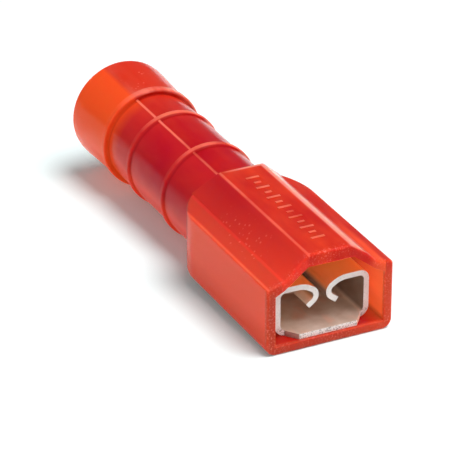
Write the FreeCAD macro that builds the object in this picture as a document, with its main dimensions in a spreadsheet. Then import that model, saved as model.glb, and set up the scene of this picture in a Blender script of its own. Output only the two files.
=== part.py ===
import FreeCAD, Part
import math
import os
import re
import Sketcher

# A female spade terminal lying on its underside: a translucent insulating housing
# moulded in one piece, and the rolled sheet-metal terminal pressed into it.
# +Y runs along the wire towards its entry, the mouth for the tab faces -Y.

os.makedirs("parts", exist_ok=True)
doc = FreeCAD.newDocument("SpadeTerminal")

SIZES = {
    # the receptacle that grips the tab
    "metal": 0.3,
    "receptacle_setback": 0.9,
    "receptacle_width": 5.38,
    "receptacle_height": 2.73,
    "receptacle_length": 6.5,
    "floor_bend": 0.45,
    "wing_bend": 0.4,
    "wing_roll": 1.39,
    "wing_fall": 33,
    "wing_fall_bend": 1.3,
    "wing_slope": 0.15,
    "curl_bend": 0.42,
    "curl_turn": 110,
    "curl_tip": 0.38,
    "tongue_reach": 0.7,
    "tongue_inset": 0.54,
    "tongue_taper": 0.5,
    "tongue_corner": 0.62,
    "detent_setback": 3.7,
    "detent_radius": 0.7,
    "detent_rise": 0.2,
    # the neck and the wire barrel behind it
    "neck_length": 3.8,
    "neck_side": 0.55,
    "neck_sink": 0.06,
    "wire_bore": 1.0,
    "wire_barrel_length": 6.3,
    "seam_width": 0.12,
    "seam_depth": 0.1,
    # the housing's box, outwards from the receptacle
    "side_gap": 0.44,
    "side_wall": 0.47,
    "floor_wall": 0.5,
    "roof_gap": 0.15,
    "roof_wall": 0.5,
    "pocket_gap": 0.6,
    "throat_gap": 0.3,
    "shoulder_width": 1.0,
    "shoulder_rise": 0.27,
    "panel_reach": 1.3,
    "panel_rise": 1.22,
    "panel_wall": 0.7,
    "panel_setback": 1.2,
    "panel_slant": 0.65,
    "box_overlap": 0.2,
    "box_rear_round": 2.6,
    "bottom_round": 0.55,
    "shoulder_round": 0.2,
    "ridge_round": 0.35,
    "mouth_round": 0.14,
    "mark_setback": 1.4,
    "mark_reach": 0.38,
    "mark_width": 0.16,
    "mark_rise": 0.05,
    # the grip over the wire barrel, and its rings
    "axis_rise": 2.18,
    "press_overlap": 0.02,
    "grip_wall": 1.42,
    "grip_lead": 0.6,
    "ring_height": 0.13,
    "ring_width": 0.45,
    "ring_chamfer": 0.12,
    "ring_setback": 2.85,
    "ring_pitch": 4.4,
    # the wire's way in
    "guide_gap": 0.7,
    "guide_cone": 0.7,
    "bell_setback": 3.9,
    "bell_floor": 0.6,
    "bell_bore": 2.45,
    "bell_wall": 0.6,
    "bell_length": 4.4,
    "bell_taper": 0.13,
    "bell_land": 0.8,
    "bell_round": 0.3,
    "bell_flare": 0.2,
    "lip_width": 0.45,
    "lip_height": 0.08,
}

# places along the body, from the mouth
RECEPTACLE_REAR = "(receptacle_setback + receptacle_length)"
WIRE_BARREL = f"({RECEPTACLE_REAR} + neck_length)"
WIRE_BARREL_REAR = f"({WIRE_BARREL} + wire_barrel_length)"
BELL = f"({WIRE_BARREL_REAR} + bell_setback)"
REAR = f"({BELL} + bell_length)"
BOX_REAR = f"({WIRE_BARREL} + box_overlap)"
PANEL_REAR = f"({BOX_REAR} - panel_setback)"
RINGS = {"front": f"({WIRE_BARREL} + ring_setback)",
         "rear": f"({WIRE_BARREL} + ring_setback + ring_pitch)"}

# reach to each side, and radii
TUBE = "(wire_bore + metal)"
GRIP = f"({TUBE} + grip_wall)"
RING = f"({GRIP} + ring_height)"
BELL_RADIUS = "(bell_bore + bell_wall)"
POCKET = "(receptacle_width / 2 + side_gap)"
BOX = f"({POCKET} + side_wall)"
FOOT = f"({BOX} - shoulder_width)"

# heights above the ground, on which the rear of the bell lies
AXIS = BELL_RADIUS
UNDERSIDE = f"({AXIS} - axis_rise)"
FLOOR = f"({UNDERSIDE} + floor_wall)"
POCKET_SIDE = f"({FLOOR} + receptacle_height + roof_gap)"
SHOULDER = f"({POCKET_SIDE} + roof_wall)"
ROOF = f"({SHOULDER} + shoulder_rise)"
PANEL = f"({ROOF} + panel_rise)"

# how far a cutter reaches past the face that it opens
PAST = "1"

# long marks in the row along the panel, with a short one between each two
MARKS = 7

# the quarter of the wire barrel that the trough's half floor, bend and side run into
NECK_ARCS = (40, 30, 20)

sheet = doc.addObject("Spreadsheet::Sheet", "Sizes")
for row, (name, number) in enumerate(SIZES.items(), 1):
    sheet.set(f"A{row}", name)
    sheet.set(f"B{row}", str(number))
    sheet.setAlias(f"B{row}", name)
doc.recompute()


def bound(text):
    """The text with every size named in it read from the sheet."""
    return re.sub(r"[a-z_]+", lambda m: "Sizes." * (m.group() in SIZES) + m.group(), text)


def value(text):
    return float(sheet.evalExpression(bound(text)))


def place_on(feature, plane, up="0", out="0"):
    """Puts a feature on one of its body's planes, moved up in it and out of it."""
    body = feature.getParentGeoFeatureGroup()
    origin_plane = next(o for o in body.Origin.OriginFeatures if o.Role == plane)
    feature.AttachmentSupport = (origin_plane, [""])
    feature.MapMode = "FlatFace"
    feature.setExpression(".AttachmentOffset.Base.y", bound(up))
    feature.setExpression(".AttachmentOffset.Base.z", bound(out))


def hold(sketch, kind, geometry, text):
    """Holds one coordinate of a line's first point at a size."""
    number = value(text)
    if number == 0:
        axis = -2 if kind == "DistanceX" else -1
        sketch.addConstraint(Sketcher.Constraint("PointOnObject", geometry, 1, axis))
        return
    index = sketch.addConstraint(Sketcher.Constraint(kind, -1, 1, geometry, 1, number))
    sketch.setExpression(f"Constraints[{index}]", bound(text))


def outline(body, name, plane, corners, **place):
    """A closed outline of straight lines, each corner held by two sizes."""
    sketch = body.newObject("Sketcher::SketchObject", name)
    place_on(sketch, plane, **place)
    points = [FreeCAD.Vector(value(x), value(y), 0) for x, y in corners]
    for start, end in zip(points, points[1:] + points[:1]):
        sketch.addGeometry(Part.LineSegment(start, end), False)
    for index, (x, y) in enumerate(corners):
        following = (index + 1) % len(corners)
        sketch.addConstraint(Sketcher.Constraint("Coincident", index, 2, following, 1))
        hold(sketch, "DistanceX", index, x)
        hold(sketch, "DistanceY", index, y)
    return sketch


def section(body, name, corners, start="0", up="0"):
    """An outline across the body, drawn at a place along it."""
    return outline(body, name, "XZ_Plane", corners, up=up, out=f"-{start}")


def circles(body, name, radii, start):
    """Circles about the wire's axis, each radius held by a size."""
    sketch = body.newObject("Sketcher::SketchObject", name)
    place_on(sketch, "XZ_Plane", up=AXIS, out=f"-{start}")
    for index, radius in enumerate(radii):
        circle = Part.Circle(FreeCAD.Vector(), FreeCAD.Vector(0, 0, 1), value(radius))
        sketch.addGeometry(circle, False)
        sketch.addConstraint(Sketcher.Constraint("Coincident", index, 3, -1, 1))
        held = sketch.addConstraint(Sketcher.Constraint("Radius", index, value(radius)))
        sketch.setExpression(f"Constraints[{held}]", bound(radius))
    return sketch


def both_sides(half):
    """Mirrors a half outline across its upright axis."""
    return half + [(f"-{x}", y) for x, y in reversed(half)]


def pad(body, name, sketch, length):
    """Fills a section towards the wire entry."""
    feature = body.newObject("PartDesign::Pad", name)
    feature.Profile = sketch
    feature.setExpression("Length", bound(length))
    feature.Reversed = True


def cut(body, kind, name, sketch, **settings):
    """Cuts a sketch out of the body and makes sure that something was cut."""
    doc.recompute()
    before = body.Shape.Volume
    feature = body.newObject(f"PartDesign::{kind}", name)
    feature.Profile = sketch
    for setting, held in settings.items():
        if isinstance(held, str):
            feature.setExpression(setting, bound(held))
        else:
            setattr(feature, setting, held)
    doc.recompute()
    assert body.Shape.Volume < before - 1e-6, name


def turned(body, name, profile):
    """A solid turned about the wire's axis, from places along it and radii."""
    sketch = outline(body, f"{name}_section", "YZ_Plane", profile, up=AXIS)
    feature = body.newObject("PartDesign::Revolution", name)
    feature.Profile = sketch
    feature.ReferenceAxis = (sketch, ["H_Axis"])
    feature.Angle = 360


def round_edges(body, name, radius, wanted):
    """Rounds the edges of the body for which wanted(edge) holds."""
    doc.recompute()
    base = body.Tip
    edges = [f"Edge{i}" for i, edge in enumerate(base.Shape.Edges, 1) if wanted(edge)]
    assert edges, name
    feature = body.newObject("PartDesign::Fillet", name)
    feature.Base = (base, edges)
    feature.setExpression("Radius", bound(radius))


def near(first, second):
    return abs(first - second) < 1e-4


def runs_along(corners):
    """A test for straight edges along the body through corners of its section."""
    places = [(value(x), value(z)) for x, z in corners]

    def wanted(edge):
        box = edge.BoundBox
        if box.YLength < 0.9 * edge.Length:
            return False
        return any(near(abs(box.Center.x), x) and near(box.Center.z, z) for x, z in places)

    return wanted


def new_body(name):
    body = doc.addObject("PartDesign::Body", name)
    body.Label = name
    body.setExpression(".Placement.Base.y", bound(f"-{REAR} / 2"))
    return body


def housing_box(body):
    """The flat box round the receptacle, with its rear corners rounded in plan."""
    shell = [(BOX, UNDERSIDE), (BOX, SHOULDER), (FOOT, ROOF)]
    pad(body, "box", section(body, "box_section", both_sides(shell)), BOX_REAR)

    def rear_corner(edge):
        box = edge.BoundBox
        return near(box.YMin, value(BOX_REAR)) and near(box.ZLength, edge.Length)

    round_edges(body, "rear_corners", "box_rear_round", rear_corner)
    round_edges(body, "bottom_edges", "bottom_round", runs_along([(BOX, UNDERSIDE)]))
    round_edges(body, "shoulder_edges", "shoulder_round", runs_along([(BOX, SHOULDER)]))


def housing_panel(body):
    """The raised panel on the box's roof, slanted at its rear, and the mouth's rounded rim."""
    panel = both_sides([(FOOT, ROOF), ("panel_reach", PANEL)])
    foot_rear = f"{PANEL_REAR} + panel_slant"
    pad(body, "panel", section(body, "panel_section", panel), foot_rear)
    round_edges(body, "panel_ridges", "ridge_round", runs_along([("panel_reach", PANEL)]))
    above = f"{PANEL} + {PAST}"
    slant = [(PANEL_REAR, PANEL), (foot_rear, ROOF), (BOX_REAR, ROOF), (BOX_REAR, above), (PANEL_REAR, above)]
    side_view = outline(body, "panel_slant_section", "YZ_Plane", slant)
    cut(body, "Pocket", "panel_slant", side_view, Length=f"2 * {BOX}", Midplane=True)
    round_edges(body, "mouth_rim", "mouth_round", lambda edge: near(edge.BoundBox.YMax, 0))


def housing_marks(body):
    """A row of raised bars along the panel, long and short in turn."""
    row = f"({PANEL_REAR} - 2 * mark_setback)"
    half_pitch = f"{row} / {2 * (MARKS - 1)}"
    for name, count, reach, inset in (("long", MARKS, "mark_reach", "0"),
                                      ("short", MARKS - 1, "mark_reach / 2", half_pitch)):
        front = f"mark_setback + {inset}"
        bar = both_sides([(reach, front), (reach, f"{front} + mark_width")])
        plan = outline(body, f"{name}_mark_plan", "XY_Plane", bar, out=f"{PANEL} + mark_rise")
        pad(body, f"{name}_mark", plan, "2 * mark_rise")
        marks = body.newObject("PartDesign::LinearPattern", f"{name}_marks")
        marks.Originals = [doc.getObject(f"{name}_mark")]
        marks.Direction = (plan, ["V_Axis"])
        marks.setExpression("Length", bound(f"{row} - 2 * {inset}"))
        marks.Occurrences = count
        body.Tip = marks


def housing_grip(body):
    """The round grip over the wire barrel, which grows out of the box along a short cone."""
    start = f"({PANEL_REAR} - {PAST})"
    end = f"({BELL} + {PAST})"
    turned(body, "grip", [(start, "0"),
                          (start, f"{GRIP} - grip_lead"),
                          (f"{start} + grip_lead", GRIP),
                          (end, GRIP),
                          (end, "0")])


def housing_rings(body):
    """Two raised rings round the grip."""
    for name, front in RINGS.items():
        rear = f"{front} + ring_width"
        turned(body, f"{name}_ring", [(front, TUBE),
                                      (rear, TUBE),
                                      (rear, f"{RING} - ring_chamfer"),
                                      (f"{rear} - ring_chamfer", RING),
                                      (f"{front} + ring_chamfer", RING),
                                      (front, f"{RING} - ring_chamfer")])


def housing_bell(body):
    """The wide round wire entry: a low lip, a slight taper, a straight end and a rounded rim."""
    front = f"{BELL_RADIUS} - bell_taper"
    lip = f"{front} + lip_height"
    lip_rear = f"{BELL} + lip_width"
    turned(body, "bell", [(BELL, TUBE),
                          (BELL, front),
                          (f"{BELL} + lip_height", lip),
                          (lip_rear, lip),
                          (f"{lip_rear} + lip_height", front),
                          (f"{REAR} - bell_land", BELL_RADIUS),
                          (REAR, BELL_RADIUS),
                          (REAR, TUBE)])

    def rim(edge):
        box = edge.BoundBox
        return near(box.YMin, value(REAR)) and near(box.XMax, value(BELL_RADIUS))

    round_edges(body, "bell_rim", "bell_round", rim)


def housing_pocket(body):
    """The room for the receptacle, and the throat that narrows to the wire barrel."""
    inside = [(POCKET, FLOOR),
              (POCKET, POCKET_SIDE),
              (FOOT, f"{ROOF} - roof_wall"),
              ("panel_reach", f"{PANEL} - panel_wall")]
    rear = f"{RECEPTACLE_REAR} + pocket_gap"
    cut(body, "Pocket", "pocket", section(body, "pocket_section", both_sides(inside)),
        Length=rear, Reversed=False)
    throat = [(POCKET, f"{rear} - {PAST}"), (POCKET, rear), (f"({TUBE} + throat_gap)", WIRE_BARREL)]
    plan = outline(body, "throat_plan", "XY_Plane", both_sides(throat), out=FLOOR)
    cut(body, "Pocket", "throat", plan, Length=f"{POCKET_SIDE} - {FLOOR}", Reversed=True)


def housing_bore(body):
    """The wire's way in: a flared bell, a guide cone and the grip on the wire barrel."""
    grip = f"{TUBE} - press_overlap"
    guide = f"{TUBE} + guide_gap"
    bell_floor = f"{BELL} + bell_floor"
    flare = "bell_bore + bell_flare"
    profile = [(f"{WIRE_BARREL} - {PAST}", "0"),
               (f"{WIRE_BARREL} - {PAST}", grip),
               (WIRE_BARREL_REAR, grip),
               (f"{WIRE_BARREL_REAR} + guide_cone / 2", guide),
               (f"{bell_floor} - guide_cone", guide),
               (bell_floor, "bell_bore"),
               (f"{REAR} - bell_flare", "bell_bore"),
               (REAR, flare),
               (f"{REAR} + {PAST}", flare),
               (f"{REAR} + {PAST}", "0")]
    sketch = outline(body, "bore_section", "YZ_Plane", profile, up=AXIS)
    cut(body, "Groove", "bore", sketch, ReferenceAxis=(sketch, ["H_Axis"]), Angle=360)


def make_housing():
    body = new_body("housing")
    housing_box(body)
    housing_panel(body)
    housing_marks(body)
    housing_grip(body)
    housing_rings(body)
    housing_bell(body)
    housing_pocket(body)
    housing_bore(body)
    return body


class Strip:
    """Sheet metal seen end on: a middle line of straights and bends, with a thickness."""

    def __init__(self, thickness):
        self.thickness = thickness
        self.moves = []

    def straight(self, length):
        self.moves.append((length, None))
        return self

    def bend(self, radius, degrees):
        self.moves.append((radius, math.radians(degrees)))
        return self

    @staticmethod
    def step(x, z, heading, size, turn):
        """Where one straight or bend ends when it starts at a point and heading."""
        if turn is None:
            return x + size * math.cos(heading), z + size * math.sin(heading), heading
        x_centre = x - size * math.sin(heading)
        z_centre = z + size * math.cos(heading)
        heading += turn
        return x_centre + size * math.sin(heading), z_centre - size * math.cos(heading), heading

    def end(self, x, z, heading):
        """Where the whole strip ends."""
        for size, turn in self.moves:
            x, z, heading = self.step(x, z, heading, size, turn)
        return x, z, heading

    def mirrored(self):
        """The whole strip whose right half this is."""
        whole = Strip(self.thickness)
        whole.moves = self.moves[::-1] + self.moves
        return whole

    def side(self, x, z, heading, offset):
        """The edges along one side of the strip, in order."""
        edges = []
        for size, turn in self.moves:
            def point(part):
                if turn is None:
                    px, pz, ph = self.step(x, z, heading, size * part, None)
                else:
                    px, pz, ph = self.step(x, z, heading, size, turn * part)
                return FreeCAD.Vector(px - offset * math.sin(ph), pz + offset * math.cos(ph), 0)
            if turn is None:
                edges.append(Part.LineSegment(point(0), point(1)))
            else:
                edges.append(Part.Arc(point(0), point(0.5), point(1)))
            x, z, heading = self.step(x, z, heading, size, turn)
        return edges

    def outline(self, x, z, heading):
        """The closed outline of the strip."""
        left = self.side(x, z, heading, self.thickness / 2)
        right = self.side(x, z, heading, -self.thickness / 2)
        caps = [Part.LineSegment(left[0].StartPoint, right[0].StartPoint),
                Part.LineSegment(left[-1].EndPoint, right[-1].EndPoint)]
        return left + right + caps


def strip_section(body, name, half, middle_height, start):
    """Draws a mirrored strip whose floor's middle line lies at a height."""
    sketch = body.newObject("Sketcher::SketchObject", name)
    place_on(sketch, "XZ_Plane", up=middle_height, out=f"-{start}")
    x, z, heading = half.end(0, 0, 0)
    for edge in half.mirrored().outline(-x, z, -heading):
        sketch.addGeometry(edge, False)
    return sketch


def receptacle_half():
    """From the middle of the floor round one side wall to the tip of its curl."""
    metal = value("metal")
    floor_bend = value("floor_bend")
    wing_bend = value("wing_bend")
    half_width = value("receptacle_width - metal") / 2
    half = Strip(metal)
    half.straight(half_width - floor_bend).bend(floor_bend, 90)
    half.straight(value("receptacle_height - metal - floor_bend - wing_bend"))
    half.bend(wing_bend, 90).straight(half_width - wing_bend - value("wing_roll"))
    half.bend(value("wing_fall_bend"), value("wing_fall")).straight(value("wing_slope"))
    half.bend(value("curl_bend"), value("curl_turn")).straight(value("curl_tip"))
    return half


def terminal_receptacle(body):
    """The floor, side walls and curled wings that grip the tab."""
    sketch = strip_section(body, "receptacle_section", receptacle_half(),
                           f"{FLOOR} + metal / 2", "receptacle_setback")
    pad(body, "receptacle", sketch, "receptacle_length")


def terminal_tongue(body):
    """The floor's lead-in, with slanted corners, ahead of the side walls."""
    front = "receptacle_setback - tongue_reach"
    side = "(receptacle_width / 2 - tongue_inset)"
    half = [(side, "receptacle_setback + metal"),
            (side, f"{front} + tongue_corner"),
            (f"({side} - tongue_taper)", front)]
    sketch = outline(body, "tongue_plan", "XY_Plane", both_sides(half), out=FLOOR)
    feature = body.newObject("PartDesign::Pad", "tongue")
    feature.Profile = sketch
    feature.setExpression("Length", bound("metal"))


def terminal_neck(body):
    """The trough that narrows from the receptacle into the wire barrel's wall."""
    thickness = value("metal - 2 * neck_sink")
    floor_bend = value("floor_bend")
    wide = Strip(thickness).straight(value("receptacle_width - metal") / 2 - floor_bend)
    wide.bend(floor_bend, 90).straight(value("neck_side"))
    narrow = Strip(thickness)
    for degrees in NECK_ARCS:
        narrow.bend(value(TUBE) - value("metal") / 2, degrees)
    loft = body.newObject("PartDesign::AdditiveLoft", "neck")
    loft.Profile = strip_section(body, "neck_front", wide, f"{FLOOR} + metal / 2",
                                 RECEPTACLE_REAR)
    loft.Sections = [strip_section(body, "neck_rear", narrow, f"{AXIS} - {TUBE} + metal / 2",
                                   WIRE_BARREL)]
    loft.Ruled = True


def terminal_wire_barrel(body):
    """The tube that is crimped on the bared wire, with a butt seam along its top."""
    pad(body, "tube", circles(body, "tube_section", [TUBE, "wire_bore"], WIRE_BARREL),
        "wire_barrel_length")
    seam = section(body, "seam_section", [("0", f"{TUBE} - seam_depth"),
                                          ("seam_width / 2", f"{TUBE} + seam_depth"),
                                          ("-seam_width / 2", f"{TUBE} + seam_depth")],
                   start=WIRE_BARREL, up=AXIS)
    cut(body, "Pocket", "seam", seam, Length="wire_barrel_length", Reversed=False)


def terminal_detent(body):
    """The small bump in the floor that snaps into the tab's hole."""
    ball = body.newObject("PartDesign::AdditiveSphere", "detent")
    place_on(ball, "XY_Plane", up="receptacle_setback + detent_setback",
             out=f"{FLOOR} + metal + detent_rise - detent_radius")
    ball.setExpression("Radius", bound("detent_radius"))
    root = "(detent_radius - detent_rise - metal / 3)"
    ball.setExpression("Angle1", bound(f"asin({root} / detent_radius)"))


def make_terminal():
    body = new_body("terminal")
    terminal_receptacle(body)
    terminal_tongue(body)
    terminal_neck(body)
    terminal_wire_barrel(body)
    terminal_detent(body)
    return body


pieces = [make_housing(), make_terminal()]
doc.recompute()

for item in doc.Objects:
    failed = [state for state in item.State if state in ("Invalid", "Error")]
    assert not failed, (item.Name, item.State)
for piece in pieces:
    shape = piece.Shape
    assert not shape.isNull() and shape.isValid(), piece.Label
    assert len(shape.Solids) == 1, (piece.Label, len(shape.Solids))

for piece in pieces:
    piece.Shape.exportStep(os.path.join("parts", piece.Label + ".step"))
    box = piece.Shape.optimalBoundingBox()
    print(piece.Label, round(piece.Shape.Volume, 3), "mm3",
          [round(v, 3) for v in (box.XMin, box.YMin, box.ZMin, box.XMax, box.YMax, box.ZMax)])
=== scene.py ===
import math

import bpy
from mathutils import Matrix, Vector

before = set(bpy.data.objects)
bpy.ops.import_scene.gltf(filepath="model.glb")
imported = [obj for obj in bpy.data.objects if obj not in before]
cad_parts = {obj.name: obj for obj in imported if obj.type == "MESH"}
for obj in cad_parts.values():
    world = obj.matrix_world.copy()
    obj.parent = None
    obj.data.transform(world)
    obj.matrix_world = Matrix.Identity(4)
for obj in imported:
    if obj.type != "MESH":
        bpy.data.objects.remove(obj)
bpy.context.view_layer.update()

mm = 0.001


# helpers for operators

def deselectAll():
    if bpy.context.object and bpy.context.object.mode != "OBJECT":
        bpy.ops.object.mode_set(mode="OBJECT")
    bpy.ops.object.select_all(action="DESELECT")


def bakePlace(piece):
    # the piece keeps its place in its mesh, and its object goes to the origin
    deselectAll()
    piece.select_set(True)
    bpy.context.view_layer.objects.active = piece
    bpy.ops.object.transform_apply(location=True, rotation=True, scale=True)


# shader maths

class Socket:
    # wraps one output, so that masks are written as plain sums
    def __init__(self, tree, output):
        self.tree = tree
        self.output = output

    def maths(self, operation, *others):
        node = self.tree.nodes.new("ShaderNodeMath")
        node.operation = operation
        for slot, part in zip(node.inputs, (self, *others)):
            if isinstance(part, Socket):
                self.tree.links.new(part.output, slot)
            else:
                slot.default_value = part
        return Socket(self.tree, node.outputs[0])

    def __add__(self, other):
        return self.maths("ADD", other)

    def __mul__(self, other):
        return self.maths("MULTIPLY", other)

    def __sub__(self, other):
        return self.maths("SUBTRACT", other)

    def __rsub__(self, other):
        return (self * -1.0) + other

    __radd__ = __add__
    __rmul__ = __mul__

    def clamped(self):
        return self.maths("MAXIMUM", 0.0).maths("MINIMUM", 1.0)

    def ramp(self, low, high):
        # 0 at low and 1 at high, straight between, whichever is larger
        return ((self - low) * (1.0 / (high - low))).clamped()

    def gap(self, place):
        # how far it is from a place, to either side
        return (self - place).maths("ABSOLUTE")


def strongest(masks):
    best, *others = masks
    for mask in others:
        best = best.maths("MAXIMUM", mask)
    return best


class Finish:
    # one material's node tree, with its Principled shader and its own coordinates
    def __init__(self, name):
        self.material = bpy.data.materials.new(name)
        self.material.use_nodes = True
        self.tree = self.material.node_tree
        self.shader = self.tree.nodes["Principled BSDF"]
        self.place = self.add("ShaderNodeTexCoord").outputs["Object"]

    def add(self, kind, settings=None, **sockets):
        node = self.tree.nodes.new(kind)
        for setting, wanted in (settings or {}).items():
            setattr(node, setting, wanted)
        for name, wanted in sockets.items():
            self.connect(wanted, node.inputs[name.replace("_", " ")])
        return node

    def connect(self, wanted, socket):
        if isinstance(wanted, Socket):
            wanted = wanted.output
        if isinstance(wanted, bpy.types.NodeSocket):
            self.tree.links.new(wanted, socket)
        else:
            socket.default_value = wanted

    def set(self, **sockets):
        for name, wanted in sockets.items():
            self.connect(wanted, self.shader.inputs[name.replace("_", " ")])

    def wrap(self, output):
        return Socket(self.tree, output)

    def axes(self, vector):
        split = self.add("ShaderNodeSeparateXYZ", Vector=vector)
        return [self.wrap(output) for output in split.outputs]

    def noise(self, size, detail=2.0, stretch=(1, 1, 1)):
        # soft blotches about size across, longer along an axis whose stretch is larger
        scale = [1 / (size * longer) for longer in stretch]
        spread = self.add("ShaderNodeMapping", Vector=self.place, Scale=scale)
        node = self.add("ShaderNodeTexNoise", Vector=spread.outputs[0], Scale=1.0, Detail=detail)
        return self.wrap(node.outputs["Fac"])

    def mix(self, mask, first, second):
        node = self.add("ShaderNodeMix", {"data_type": "RGBA"})
        self.connect(mask, node.inputs["Factor"])
        self.connect(first, node.inputs[6])
        self.connect(second, node.inputs[7])
        return node.outputs[2]

    def bump(self, height, depth):
        node = self.add("ShaderNodeBump", Height=height, Distance=depth, Strength=1.0)
        self.set(Normal=node.outputs[0])


# in each finish's dictionary a pair is a fade: nothing at the first, full at the second
black = (0, 0, 0, 1)


# the housing's red nylon

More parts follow.
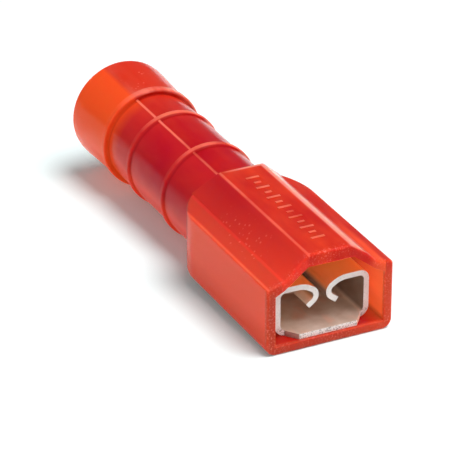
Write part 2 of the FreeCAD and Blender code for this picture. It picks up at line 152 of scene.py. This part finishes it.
nylon = {
    "deepRed": (0.46, 0.003, 0.012, 1),
    "warmRed": (0.72, 0.048, 0.016, 1),
    "slopeRed": (0.84, 0.058, 0.028, 1),
    "crimson": (0.56, 0.014, 0.020, 1),
    # painted shade for the strip by the shoulder
    "stripRed": (0.50, 0.050, 0.026, 1),
    "sideRed": (0.78, 0.050, 0.012, 1),
    # painted light: the bell's near side is orange and its far side red
    "bellOrange": (0.60, 0.046, 0.010, 1),
    "bellRed": (0.64, 0.028, 0.010, 1),
    "rimRed": (0.46, 0.050, 0.026, 1),
    # painted shade: the red used on the pocket's floor, in front of the rings and towards the foot
    # of the near side
    "shadeRed": (0.36, 0.003, 0.004, 1),
    "edgePink": (1.0, 0.24, 0.15, 1),
    "palePink": (1.0, 0.38, 0.29, 1),
    # light that the translucent walls let through
    "sideGlow": (0.16, 0.014, 0.002, 1),
    "lowGlow": (0.25, 0.020, 0.004, 1),
    "leftGlow": (0.07, 0.003, 0.006, 1),
    "bellGlow": (0.33, 0.036, 0.005, 1),
    "wallGlow": (0.48, 0.095, 0.022, 1),
    # the body's regions
    "axis": 3.05 * mm,
    "ridgeAngle": math.radians(109.5),
    "gripRadius": 2.72 * mm,
    "bell": (7.3 * mm, 8.86 * mm),
    "bellSide": (-0.05 * mm, 0.2 * mm),
    "bellShell": (2.5 * mm, 2.6 * mm),
    "box": (-1.6 * mm, -2.4 * mm),
    "panelHalf": 1.27 * mm,
    "slopeFall": 0.676,
    "outerRoof": (6.04 * mm, 6.14 * mm),
    "slope": (1.2 * mm, 1.4 * mm),
    "strip": (2.70 * mm, 2.82 * mm),
    "side": (3.42 * mm, 3.56 * mm),
    "rim": (-12.60 * mm, -12.78 * mm),
    "rimTop": (5.2 * mm, 4.0 * mm),
    # how the red drifts
    "flowSize": 1.3 * mm,
    "flowDetail": 3.0,
    "flowStretch": (1, 3, 1),
    "warmPatches": (0.35, 0.75),
    "gripPatches": 0.3,
    "boxPatches": 0.4,
    "boxWarmth": 0.3,
    "nearBell": (4.5 * mm, 8.0 * mm),
    "nearBellWarmth": 0.3,
    "slopeToSide": (1.6 * mm, 3.3 * mm),
    "slopeToMouth": (-5.0 * mm, -12.5 * mm),
    "slopeShare": 0.6,
    "slopePatches": (0.1, 0.4),
    "stripShare": 0.55,
    # painted shade towards the foot of the near side
    "sideFoot": (2.6 * mm, 0.9 * mm),
    "sideFootShare": 0.45,
    # painted highlights on edges: each ridge is across, up and reach
    "ridges": ((1.27 * mm, 6.21 * mm, 0.10 * mm), (3.52 * mm, 4.72 * mm, 0.08 * mm)),
    "ridgeCore": 0.35,
    "ridgeShare": 0.7,
    "seam": (0.09 * mm, 0.036 * mm),
    "seamRise": (3.55 * mm, 4.05 * mm),
    "seamFront": (-2.6 * mm, -2.3 * mm),
    "seamSkin": (0.08 * mm, 0.02 * mm),
    "seamPatches": (0.3, 0.6),
    "bellBand": (-1.0 * mm, -0.1 * mm),
    "bellBandFront": (8.5 * mm, 8.9 * mm),
    "bellBandShare": 0.35,
    "marks": (6.25 * mm, 6.27 * mm),
    "marksRear": (-2.0 * mm, -2.2 * mm),
    "marksShare": 0.8,
    "edgePatches": (0.2, 0.5),
    "edgeShare": 0.7,
    # the two rings and the bell's lip: place of the front and radius
    "rings": ((1.15 * mm, 2.85 * mm), (5.55 * mm, 2.85 * mm), (8.5 * mm, 3.0 * mm)),
    "ringWidth": 0.45 * mm,
    "ringFade": (0.27 * mm, 0.135 * mm),
    "ringSkin": (-0.08 * mm, -0.02 * mm),
    "ringLit": (1.2 * mm, -0.4 * mm),
    "ringLitShare": 0.75,
    "ringShare": 0.12,
    # painted shade just in front of each ring
    "footSetback": 0.06 * mm,
    "footFade": (0.16 * mm, 0.03 * mm),
    "footSkin": (0.0, -0.06 * mm),
    "footShare": 0.75,
    # soft highlights on the far slope, the panel's rear edge, the grip and the lip
    "bandLeft": (1.02 * mm, 1.14 * mm),
    "bandRight": (2.3 * mm, 1.9 * mm),
    "bandRear": (-2.4 * mm, -2.6 * mm),
    "rearEdge": -2.75 * mm,
    "rearEdgeFade": (0.16 * mm, 0.06 * mm),
    "rearEdgeRise": (6.12 * mm, 6.18 * mm),
    "rearEdgeSide": (-1.2 * mm, 0.2 * mm),
    "streakAngle": math.radians(50),
    "streak": (0.5 * mm, 0.1 * mm),
    "streakSide": (0.5 * mm, 0.8 * mm),
    "streakFront": (-2.2 * mm, -1.8 * mm),
    "streakPatches": (0.3, 0.55),
    "streakShare": 0.8,
    "lip": 8.7 * mm,
    "lipFade": (0.5 * mm, 0.2 * mm),
    "lipLit": (0.3 * mm, -0.6 * mm),
    "lipSkin": (0.1 * mm, 0.2 * mm),
    "lipPatches": (0.25, 0.55),
    "lipShare": 0.5,
    "paleShare": 0.75,
    # fine grain on the mouth's rim
    "grainSize": 0.10 * mm,
    "grain": (0.54, 0.68),
    "grainEnd": (-12.45 * mm, -12.85 * mm),
    "grainPatches": (0.3, 0.6),
    "grainShare": 0.36,
    # clusters of pale flecks
    "speckSpacing": 0.30 * mm,
    "speckCore": (0.26, 0.14),
    "clusterSize": 1.6 * mm,
    "clusterDetail": 1.0,
    "clusters": (0.50, 0.58),
    "speckSide": (1.6 * mm, 1.9 * mm),
    "speckFront": (-10.4 * mm, -9.8 * mm),
    "speckRear": (-5.2 * mm, -6.0 * mm),
    "speckBell": (2.9 * mm, 2.95 * mm),
    "speckShare": 0.26,
    "speckRough": 0.2,
    "speckHeight": 2.0,
    # inside the mouth
    "wallInside": (3.16 * mm, 3.14 * mm),
    "floorInside": (0.95 * mm, 1.0 * mm),
    "nearMouth": (-7.9 * mm, -12.9 * mm),
    # painted shade on the pocket's floor
    "pocketShade": (1.7 * mm, 1.5 * mm),
    "pocketShare": 0.8,
    "litSide": (2.2 * mm, 3.1 * mm),
    "litRise": (1.1 * mm, 1.7 * mm),
    # where the grip and the rim glow
    "low": (4.25 * mm, 2.45 * mm),
    "lowFront": (-2.4 * mm, -1.6 * mm),
    "lowSide": (0.2 * mm, 1.2 * mm),
    "shadedRise": (2.65 * mm, 3.65 * mm),
    "shadedFront": (-2.2 * mm, -1.8 * mm),
    "rimSide": (0.5 * mm, 3.4 * mm),
    # the surface
    "roughness": 0.15,
    "flowRough": 0.08,
    "refraction": 1.53,
    "gloss": 0.09,
    "glossTint": (1.0, 0.6, 0.5, 1),
    "bleed": (1.0, 0.12, 0.05),
    "bleedReach": 0.6 * mm,
    "sheenSize": 0.3 * mm,
    "sheenDepth": 0.0016 * mm,
}


def away(offCentre, up, x, z):
    # distance from a line along the body, the same on both sides
    squares = (offCentre - x).maths("POWER", 2.0) + (up - z).maths("POWER", 2.0)
    return squares.maths("SQRT")


def makeNylon():
    finish = Finish("redNylon")
    across, along, up = finish.axes(finish.place)
    leftwards = across * -1.0
    offCentre = across.maths("ABSOLUTE")
    rise = up - nylon["axis"]
    radius = away(offCentre, up, 0.0, nylon["axis"])
    leftOfRidge = leftwards * math.sin(nylon["ridgeAngle"]) + rise * math.cos(nylon["ridgeAngle"])
    cover = (offCentre - nylon["panelHalf"]) * nylon["slopeFall"] + up
    flow = finish.noise(nylon["flowSize"], nylon["flowDetail"], nylon["flowStretch"])

    bell = along.ramp(*nylon["bell"])
    bellSide = leftOfRidge.ramp(*nylon["bellSide"]) * radius.ramp(*nylon["bellShell"])
    box = along.ramp(*nylon["box"])
    outerRoof = cover.ramp(*nylon["outerRoof"])
    side = leftwards.ramp(*nylon["side"])
    rim = along.ramp(*nylon["rim"]) * up.ramp(*nylon["rimTop"])

    # the body's red, warmer in patches, on the box and near the bell
    warmth = flow.ramp(*nylon["warmPatches"]) * (box * nylon["boxPatches"] + nylon["gripPatches"])
    warmth = warmth + box * nylon["boxWarmth"]
    warmth = warmth + along.ramp(*nylon["nearBell"]) * nylon["nearBellWarmth"]
    colour = finish.mix(warmth.clamped(), nylon["deepRed"], nylon["warmRed"])

    # the near slope, its strip by the shoulder, the near side, the bell and the rim
    lighter = leftwards.ramp(*nylon["slopeToSide"]) + along.ramp(*nylon["slopeToMouth"])
    lighter = (lighter * nylon["slopeShare"]).clamped() * flow.ramp(*nylon["slopePatches"])
    slopeColour = finish.mix(lighter, nylon["crimson"], nylon["slopeRed"])
    colour = finish.mix(leftwards.ramp(*nylon["slope"]) * box, colour, slopeColour)
    # painted shade: a darker strip by the shoulder
    strip = leftwards.ramp(*nylon["strip"]) * box
    colour = finish.mix(strip * nylon["stripShare"], colour, nylon["stripRed"])
    # painted shade: the near side darkens towards its foot
    sideFoot = up.ramp(*nylon["sideFoot"]) * nylon["sideFootShare"]
    sideColour = finish.mix(sideFoot, nylon["sideRed"], nylon["shadeRed"])
    colour = finish.mix(side, colour, sideColour)
    # painted light: the bell's near side orange and its far side red, from how the light falls on it
    bellColour = finish.mix(bellSide, nylon["bellRed"], nylon["bellOrange"])
    colour = finish.mix(bell, colour, bellColour)
    colour = finish.mix(rim, colour, nylon["rimRed"])

    # edges that catch the light
    edges = [away(offCentre, up, x, z).ramp(reach, reach * nylon["ridgeCore"]) * nylon["ridgeShare"]
             for x, z, reach in nylon["ridges"]]
    # a painted highlight along the grip's upper left line
    seam = leftOfRidge.maths("ABSOLUTE").ramp(*nylon["seam"])
    seam = seam * up.ramp(*nylon["seamRise"]) * along.ramp(*nylon["seamFront"])
    seam = seam * radius.gap(nylon["gripRadius"]).ramp(*nylon["seamSkin"])
    edges.append(seam * flow.ramp(*nylon["seamPatches"]))
    # painted reflection: a pale band along the bell's top
    bellBand = leftOfRidge.ramp(*nylon["bellBand"]) * (1.0 - bellSide)
    edges.append(bellBand * along.ramp(*nylon["bellBandFront"]) * nylon["bellBandShare"])
    # painted highlight on the tops of the raised marks
    marks = up.ramp(*nylon["marks"]) * along.ramp(*nylon["marksRear"])
    edges.append(marks * nylon["marksShare"])
    ringLight = leftOfRidge.ramp(*nylon["ringLit"]) * nylon["ringLitShare"] + nylon["ringShare"]
    # painted shade just in front of each ring and of the bell's lip
    ringShades = []
    for front, ringRadius in nylon["rings"]:
        proud = radius - ringRadius
        band = along.gap(front + nylon["ringWidth"] / 2).ramp(*nylon["ringFade"])
        edges.append(band * proud.ramp(*nylon["ringSkin"]) * ringLight)
        ringShade = along.gap(front - nylon["footSetback"]).ramp(*nylon["footFade"])
        ringShades.append(ringShade * proud.ramp(*nylon["footSkin"]))
    colour = finish.mix(strongest(ringShades) * nylon["footShare"], colour, nylon["shadeRed"])
    edge = strongest(edges) * flow.ramp(*nylon["edgePatches"])
    colour = finish.mix(edge * nylon["edgeShare"], colour, nylon["edgePink"])

    # soft highlights
    farSlope = across.ramp(*nylon["bandLeft"]) * across.ramp(*nylon["bandRight"])
    farSlope = farSlope * outerRoof * along.ramp(*nylon["bandRear"])
    rearEdge = along.gap(nylon["rearEdge"]).ramp(*nylon["rearEdgeFade"])
    rearEdge = rearEdge * up.ramp(*nylon["rearEdgeRise"]) * across.ramp(*nylon["rearEdgeSide"])
    turned = across * math.cos(nylon["streakAngle"]) - rise * math.sin(nylon["streakAngle"])
    streak = turned.maths("ABSOLUTE").ramp(*nylon["streak"]) * across.ramp(*nylon["streakSide"])
    streak = streak * along.ramp(*nylon["streakFront"]) * (1.0 - bell)
    streak = streak * flow.ramp(*nylon["streakPatches"]) * nylon["streakShare"]
    lip = along.gap(nylon["lip"]).ramp(*nylon["lipFade"]) * leftOfRidge.ramp(*nylon["lipLit"])
    lip = lip * (radius - nylon["gripRadius"]).ramp(*nylon["lipSkin"])
    lip = lip * flow.ramp(*nylon["lipPatches"]) * nylon["lipShare"]
    pale = strongest([farSlope, rearEdge, streak, lip])
    colour = finish.mix(pale * nylon["paleShare"], colour, nylon["palePink"])

    grain = finish.noise(nylon["grainSize"]).ramp(*nylon["grain"])
    grain = grain * along.ramp(*nylon["grainEnd"]) * flow.ramp(*nylon["grainPatches"])
    colour = finish.mix(grain * nylon["grainShare"], colour, nylon["palePink"])

    # flecks on the near slope and on the bell
    cells = finish.add("ShaderNodeTexVoronoi", Vector=finish.place, Scale=1 / nylon["speckSpacing"])
    cluster = finish.noise(nylon["clusterSize"], nylon["clusterDetail"]).ramp(*nylon["clusters"])
    onSlope = leftwards.ramp(*nylon["speckSide"]) * (1.0 - side)
    onSlope = onSlope * along.ramp(*nylon["speckFront"]) * along.ramp(*nylon["speckRear"])
    onBell = bell * (1.0 - bellSide) * radius.ramp(*nylon["speckBell"])
    speck = finish.wrap(cells.outputs["Distance"]).ramp(*nylon["speckCore"])
    speck = speck * cluster * strongest([onSlope, onBell])
    colour = finish.mix(speck * nylon["speckShare"], colour, nylon["edgePink"])

    # the pocket behind the mouth, with painted shade on its floor
    inside = offCentre.ramp(*nylon["wallInside"]) * up.ramp(*nylon["floorInside"])
    inside = inside * (1.0 - outerRoof) * along.ramp(*nylon["nearMouth"])
    pocketShade = inside * up.ramp(*nylon["pocketShade"]) * (1.0 - rim)
    colour = finish.mix(pocketShade * nylon["pocketShare"], colour, nylon["shadeRed"])

    glow = finish.mix(side * (1.0 - bell), black, nylon["sideGlow"])
    low = up.ramp(*nylon["low"]) * along.ramp(*nylon["lowFront"]) * leftwards.ramp(*nylon["lowSide"])
    glow = finish.mix(low * (1.0 - bell), glow, nylon["lowGlow"])
    shaded = bellSide * up.ramp(*nylon["shadedRise"]) * along.ramp(*nylon["shadedFront"])
    glow = finish.mix(shaded * (1.0 - bell), glow, nylon["leftGlow"])
    glow = finish.mix(bell * bellSide, glow, nylon["bellGlow"])
    lit = inside * across.ramp(*nylon["litSide"]) * up.ramp(*nylon["litRise"])
    glow = finish.mix(lit, glow, nylon["wallGlow"])
    glow = finish.mix(rim * across.ramp(*nylon["rimSide"]), glow, nylon["sideGlow"])

    rough = flow * nylon["flowRough"] + speck * nylon["speckRough"] + nylon["roughness"]
    finish.set(Base_Color=colour, Roughness=rough, IOR=nylon["refraction"])
    finish.set(Specular_IOR_Level=nylon["gloss"], Specular_Tint=nylon["glossTint"])
    finish.set(Subsurface_Weight=1.0, Subsurface_Radius=nylon["bleed"],
               Subsurface_Scale=nylon["bleedReach"])
    finish.set(Emission_Color=glow, Emission_Strength=1.0)
    finish.bump(finish.noise(nylon["sheenSize"]) + speck * nylon["speckHeight"], nylon["sheenDepth"])
    return finish.material


# the terminal's tin

tin = {
    "bright": (0.84, 0.70, 0.60, 1),
    "dull": (0.66, 0.50, 0.40, 1),
    "rosy": (0.92, 0.52, 0.38, 1),
    "redLight": (0.95, 0.33, 0.07, 1),
    "shade": (0.44, 0.31, 0.24, 1),
    "wallShade": (0.16, 0.10, 0.07, 1),
    "cut": (0.88, 0.80, 0.76, 1),
    "pit": (0.28, 0.22, 0.20, 1),
    "redLightGlow": (0.30, 0.085, 0.016, 1),
    "insideGlow": (0.006, 0.004, 0.003, 1),
    "wallGlow": (0.38, 0.25, 0.175, 1),
    # tones of the sheet, with painted shade on faces turned aside and on the right wall
    "blotchSize": 0.9 * mm,
    "blotchDetail": 4.0,
    "dullPatches": (0.3, 0.65),
    "rosySize": 0.63 * mm,
    "rosyStretch": (1, 2, 1),
    "rosyPatches": (0.5, 0.7),
    "rosyShare": 0.45,
    "facesAside": (0.6, 0.1),
    "shadeShare": 0.1,
    "rightWall": (0.5, 0.9),
    "darkShare": 0.75,
    # painted orange light on the wings' tops, seen through or under the red nylon
    "facesUp": (0.0, 0.5),
    "wingRise": (2.9 * mm, 4.25 * mm),
    "wingRear": (-4.5 * mm, -6.0 * mm),
    # the bare cut edge at the front, rougher on the tongue
    "facesFront": (0.6, 0.8),
    "cutEnd": (-11.7 * mm, -11.9 * mm),
    "tongue": (1.9 * mm, 1.75 * mm),
    "pitSize": 0.07 * mm,
    "pitDetail": 3.0,
    "tonguePits": (0.50, 0.62),
    "tonguePitShare": 0.8,
    "otherPits": (0.60, 0.72),
    "otherPitShare": 0.4,
    "pitDepth": 0.02 * mm,
    # light that reaches the floor and the walls inside
    "insideEnd": (-8.0 * mm, -12.0 * mm),
    "insideUp": (0.3, 0.9),
    "insideLow": (2.4 * mm, 1.8 * mm),
    "wallEnd": (-7.0 * mm, -12.0 * mm),
    "wallLeftwards": (0.2, 0.7),
    "wallUp": (0.4, 0.8),
    # the surface
    "metallic": 0.45,
    "cutLoss": 0.35,
    "roughness": 0.2,
    "blotchRough": 0.2,
    "grainRough": 0.12,
    "grainSize": 0.06 * mm,
    "grainStretch": (1, 12, 1),
    "grainDepth": 0.001 * mm,
}


def makeTin():
    finish = Finish("tinPlate")
    across, along, up = finish.axes(finish.place)
    facing = finish.axes(finish.add("ShaderNodeNewGeometry").outputs["Normal"])
    leftwards, forwards, upwards = facing[0] * -1.0, facing[1] * -1.0, facing[2]
    blotch = finish.noise(tin["blotchSize"], tin["blotchDetail"])
    grain = finish.noise(tin["grainSize"], stretch=tin["grainStretch"])
    pits = finish.noise(tin["pitSize"], tin["pitDetail"])

    colour = finish.mix(blotch.ramp(*tin["dullPatches"]), tin["bright"], tin["dull"])
    rosy = finish.noise(tin["rosySize"], stretch=tin["rosyStretch"]).ramp(*tin["rosyPatches"])
    colour = finish.mix(rosy * tin["rosyShare"], colour, tin["rosy"])
    # painted shade on faces turned aside and on the right wall inside
    colour = finish.mix(upwards.ramp(*tin["facesAside"]) * tin["shadeShare"], colour, tin["shade"])
    colour = finish.mix(leftwards.ramp(*tin["rightWall"]) * tin["darkShare"], colour, tin["wallShade"])
    # painted orange light on the wings' tops, in colour and as a glow
    wingTops = upwards.ramp(*tin["facesUp"]) * up.ramp(*tin["wingRise"])
    wingTops = wingTops * along.ramp(*tin["wingRear"])
    colour = finish.mix(wingTops, colour, tin["redLight"])

    cut = forwards.ramp(*tin["facesFront"]) * along.ramp(*tin["cutEnd"])
    tonguePits = pits.ramp(*tin["tonguePits"]) * up.ramp(*tin["tongue"]) * tin["tonguePitShare"]
    otherPits = pits.ramp(*tin["otherPits"]) * tin["otherPitShare"]
    cutColour = finish.mix(strongest([tonguePits, otherPits]), tin["cut"], tin["pit"])
    colour = finish.mix(cut, colour, cutColour)

    inside = along.ramp(*tin["insideEnd"]) * upwards.ramp(*tin["insideUp"])
    glow = finish.mix(inside * up.ramp(*tin["insideLow"]), black, tin["insideGlow"])
    walls = along.ramp(*tin["wallEnd"]) * (1.0 - leftwards.ramp(*tin["wallLeftwards"]))
    walls = walls * (1.0 - upwards.ramp(*tin["wallUp"])) * (1.0 - cut)
    glow = finish.mix(walls, glow, tin["wallGlow"])
    glow = finish.mix(wingTops, glow, tin["redLightGlow"])

    rough = blotch * tin["blotchRough"] + grain * tin["grainRough"] + tin["roughness"]
    finish.set(Base_Color=colour, Metallic=tin["metallic"] - cut * tin["cutLoss"], Roughness=rough)
    finish.set(Emission_Color=glow, Emission_Strength=1.0)
    finish.bump(grain * (tin["grainDepth"] / tin["pitDepth"]) + pits * cut, tin["pitDepth"])
    return finish.material


for node, material in (("housing", makeNylon()), ("terminal", makeTin())):
    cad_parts[node].material_slots[0].material = material
print("finishes: red nylon, tin plate")


# floor, lights and camera

stand = {
    "boxFront": -12.9 * mm,
    "boxUnderside": 0.87 * mm,
    "ringPlace": 1.27 * mm,
    "ringBottom": 0.20 * mm,
    "size": 6,
    "colour": (0.83, 0.89, 0.89, 1),
    "roughness": 0.9,
    "gloss": 0.1,
    "glow": 0.12,
    "glowColour": (0.7, 1, 1, 1),
}


def makeFloor():
    # the part rests on the box's front edge and on its front ring, so the floor leans to them
    rise = stand["ringBottom"] - stand["boxUnderside"]
    run = stand["ringPlace"] - stand["boxFront"]
    deselectAll()
    bpy.ops.mesh.primitive_plane_add(size=stand["size"], rotation=(math.atan2(rise, run), 0, 0),
                                     location=(0, stand["boxFront"], stand["boxUnderside"]))
    floor = bpy.context.object
    floor.name = "floor"
    bakePlace(floor)
    finish = Finish("paleFloor")
    finish.set(Base_Color=stand["colour"], Roughness=stand["roughness"],
               Specular_IOR_Level=stand["gloss"])
    # the floor is lighter to the eye than to the part that it lights
    rays = finish.add("ShaderNodeLightPath")
    seen = strongest([finish.wrap(rays.outputs[f"Is {kind} Ray"])
                      for kind in ("Camera", "Glossy", "Transmission")])
    glow = finish.add("ShaderNodeEmission", Color=stand["glowColour"], Strength=seen * stand["glow"])
    both = finish.add("ShaderNodeAddShader")
    finish.connect(finish.shader.outputs[0], both.inputs[0])
    finish.connect(glow.outputs[0], both.inputs[1])
    finish.connect(both.outputs[0], finish.tree.nodes["Material Output"].inputs["Surface"])
    floor.data.materials.append(finish.material)


makeFloor()

sky = {"light": 0.15, "colour": (0.84, 1, 1, 1)}
lamps = [
    # name, strength, softness in degrees, direction the light comes from
    ("keyLight", 3.35, 36, (0.34, -0.38, 1.35)),
    ("frontLight", 0.45, 60, (-0.6, -0.8, 0.6)),
]


def makeLights():
    world = bpy.data.worlds.new("studio")
    bpy.context.scene.world = world
    world.use_nodes = True
    back = world.node_tree.nodes["Background"]
    back.inputs["Color"].default_value = sky["colour"]
    back.inputs["Strength"].default_value = sky["light"]
    for name, strength, softness, source in lamps:
        deselectAll()
        bpy.ops.object.light_add(type="SUN")
        lamp = bpy.context.object
        lamp.name = name
        lamp.data.energy = strength
        lamp.data.angle = math.radians(softness)
        lamp.rotation_euler = Vector(source).to_track_quat("Z", "Y").to_euler()


makeLights()

view = {
    "azimuth": -26.142,
    "elevation": 27.673,
    "distance": 152.903 * mm,
    "aside": -5.3469 * mm,
    "above": 5.9907 * mm,
    "origin": (0, -12.9 * mm, 0.87 * mm),
    "lens": 240,
    "film": 36,
    "nearest": 1 * mm,
}


def makeCamera():
    turn = math.radians(view["azimuth"])
    tip = math.radians(view["elevation"])
    back = Vector((math.sin(turn) * math.cos(tip), -math.cos(turn) * math.cos(tip), math.sin(tip)))
    right = Vector((math.cos(turn), math.sin(turn), 0))
    above = back.cross(right)
    spot = Vector(view["origin"]) + back * view["distance"]
    spot += right * view["aside"] + above * view["above"]
    deselectAll()
    bpy.ops.object.camera_add(location=spot, rotation=(math.pi / 2 - tip, 0, turn))
    camera = bpy.context.object
    camera.data.lens = view["lens"]
    camera.data.sensor_width = view["film"]
    camera.data.clip_start = view["nearest"]
    bpy.context.scene.camera = camera


makeCamera()
bpy.context.scene.view_settings.view_transform = "Standard"
print("floor, lights and camera")
